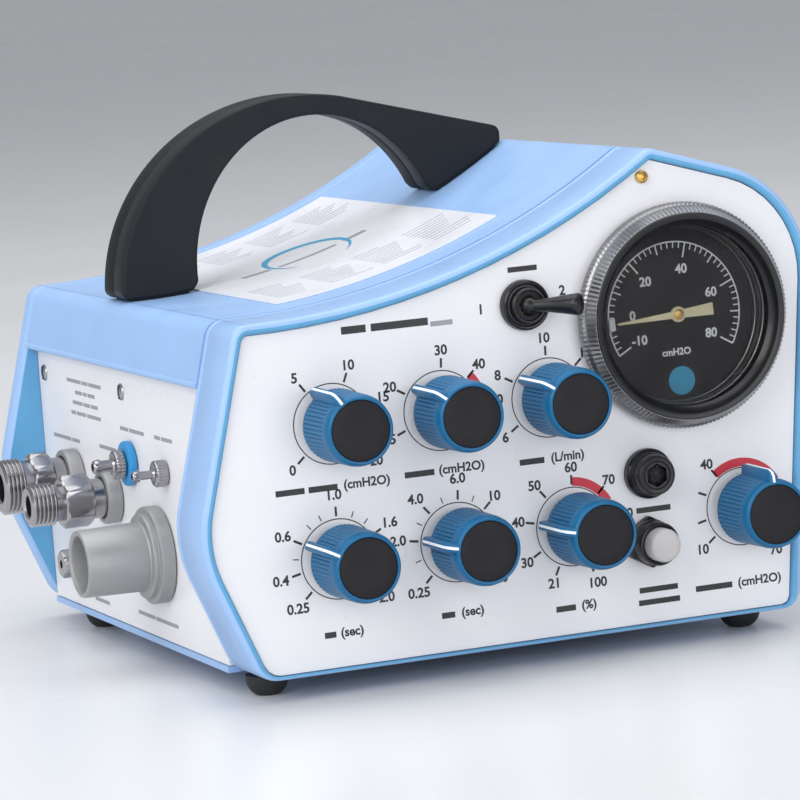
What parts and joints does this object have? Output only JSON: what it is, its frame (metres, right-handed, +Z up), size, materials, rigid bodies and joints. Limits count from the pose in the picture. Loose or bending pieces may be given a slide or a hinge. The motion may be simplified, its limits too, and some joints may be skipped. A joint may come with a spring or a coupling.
{
  "type": "mechanical ventilator",
  "caption": "Portable pneumatic ventilator: blue case, front panel with turning knobs, pressure gauge, toggle and push button, arched handle, gas and patient ports on one side.",
  "frame": {"origin": "bottom centre of the whole object's bounding box, on the surface the feet stand on", "axes": "+Z up; the control panel faces -Y, so +Y runs from front to rear; +X to the right seen from the front, with the gas and patient connections on the -X side"},
  "size_m": [0.229, 0.2426, 0.181],
  "materials": {
    "case_blue": "satin moulded plastic with a fine grain",
    "panel_white": "smooth printed overlay, slightly glossy",
    "label_white": "printed sheet under a clear film",
    "handle_black": "grained moulded plastic",
    "rubber_black": "matt rubber",
    "knob_blue": "ribbed moulded plastic",
    "cap_black": "fine matt texture",
    "gauge_black": "painted matt black",
    "bezel_metal": "knurled, dark satin",
    "needle_cream": "painted cream",
    "clear": "clear moulded window",
    "toggle_black": "semi-gloss black",
    "button_grey": "satin grey",
    "satin_metal": "bead-blasted satin",
    "nickel": "nickel plated, bright",
    "brass": "machined brass",
    "ring_blue": "satin",
    "aluminium": "machined",
    "signal_red": "gloss red"
  },
  "bodies": {
    "case": {"front_bezel": "case_blue", "rear_shell": "case_blue", "top_cover": "case_blue", "base_plate": "case_blue", "front_panel": "panel_white", "side_panel": "panel_white", "top_label": "label_white", "handle": "handle_black", "foot_front_left": "rubber_black", "foot_front_right": "rubber_black", "foot_rear_left": "rubber_black", "foot_rear_right": "rubber_black", "valve_peep": "brass", "valve_inspiratory_pressure": "brass", "valve_inspiratory_flow": "brass", "valve_inspiratory_time": "brass", "valve_expiratory_time": "brass", "valve_oxygen": "brass", "valve_alarm_pressure": "brass", "gauge_case": "gauge_black", "gauge_bezel": "bezel_metal", "gauge_window": "clear", "gauge_dial": "gauge_black", "mode_valve": "brass", "mode_nut": "toggle_black", "alarm_body": "toggle_black", "alarm_lens": "clear", "button_body": "toggle_black", "panel_screw": "brass", "patient_port": "satin_metal", "oxygen_inlet": "nickel", "oxygen_collar": "satin_metal", "air_inlet": "nickel", "air_collar": "satin_metal", "proximal_port": "nickel", "proximal_ring": "ring_blue", "exhalation_port": "nickel", "relief_plug": "nickel", "side_screw_1": "nickel", "side_screw_2": "nickel", "manifold_block": "aluminium", "gas_regulator": "aluminium"},
    "dial_peep": {"knob_peep": "knob_blue", "knob_cap_peep": "cap_black"},
    "dial_inspiratory_pressure": {"knob_inspiratory_pressure": "knob_blue", "knob_cap_inspiratory_pressure": "cap_black"},
    "dial_inspiratory_flow": {"knob_inspiratory_flow": "knob_blue", "knob_cap_inspiratory_flow": "cap_black"},
    "dial_inspiratory_time": {"knob_inspiratory_time": "knob_blue", "knob_cap_inspiratory_time": "cap_black"},
    "dial_expiratory_time": {"knob_expiratory_time": "knob_blue", "knob_cap_expiratory_time": "cap_black"},
    "dial_oxygen": {"knob_oxygen": "knob_blue", "knob_cap_oxygen": "cap_black"},
    "dial_alarm_pressure": {"knob_alarm_pressure": "knob_blue", "knob_cap_alarm_pressure": "cap_black"},
    "toggle": {"mode_lever": "toggle_black"},
    "push_button": {"button_plunger": "button_grey"},
    "pointer": {"gauge_needle": "needle_cream"},
    "indicator": {"alarm_ball": "signal_red"}
  },
  "joints": [
    {"name": "turn_peep", "type": "hinge", "parent": "case", "child": "dial_peep", "pos_m": [-0.0524, -0.09575, 0.0843], "axis": [0, 1, 0], "range_deg": [-103, 167]},
    {"name": "turn_inspiratory_pressure", "type": "hinge", "parent": "case", "child": "dial_inspiratory_pressure", "pos_m": [-0.0157, -0.09575, 0.0843], "axis": [0, 1, 0], "range_deg": [-69, 176]},
    {"name": "turn_inspiratory_flow", "type": "hinge", "parent": "case", "child": "dial_inspiratory_flow", "pos_m": [0.0209, -0.09575, 0.0843], "axis": [0, 1, 0], "range_deg": [-64, 191]},
    {"name": "turn_inspiratory_time", "type": "hinge", "parent": "case", "child": "dial_inspiratory_time", "pos_m": [-0.0532, -0.09575, 0.0421], "axis": [0, 1, 0], "range_deg": [-78, 197]},
    {"name": "turn_expiratory_time", "type": "hinge", "parent": "case", "child": "dial_expiratory_time", "pos_m": [-0.0133, -0.09575, 0.0424], "axis": [0, 1, 0], "range_deg": [-61, 214]},
    {"name": "turn_oxygen", "type": "hinge", "parent": "case", "child": "dial_oxygen", "pos_m": [0.0262, -0.09575, 0.0425], "axis": [0, 1, 0], "range_deg": [-86, 229]},
    {"name": "turn_alarm_pressure", "type": "hinge", "parent": "case", "child": "dial_alarm_pressure", "pos_m": [0.0858, -0.09575, 0.0418], "axis": [0, 1, 0], "range_deg": [-128, 132]},
    {"name": "flip_mode", "type": "hinge", "parent": "case", "child": "toggle", "pos_m": [0.0144, -0.10055, 0.1144], "axis": [0, 0, 1], "range_deg": [-90, 0]},
    {"name": "press_reset", "type": "slide", "parent": "case", "child": "push_button", "axis": [0, 1, 0], "range_m": [0, 0.0025], "stiffness_N_per_m": 600, "springref_m": -0.001},
    {"name": "sweep_gauge", "type": "hinge", "parent": "case", "child": "pointer", "pos_m": [0.0677, -0.09575, 0.1058], "axis": [0, 1, 0], "range_deg": [-27, 213], "stiffness_Nm_per_rad": 0.0005},
    {"name": "turn_indicator", "type": "hinge", "parent": "case", "child": "indicator", "pos_m": [0.0529, -0.09875, 0.0565], "axis": [0, 0, 1], "range_deg": [0, 90], "stiffness_Nm_per_rad": 0.0003}
  ]
}
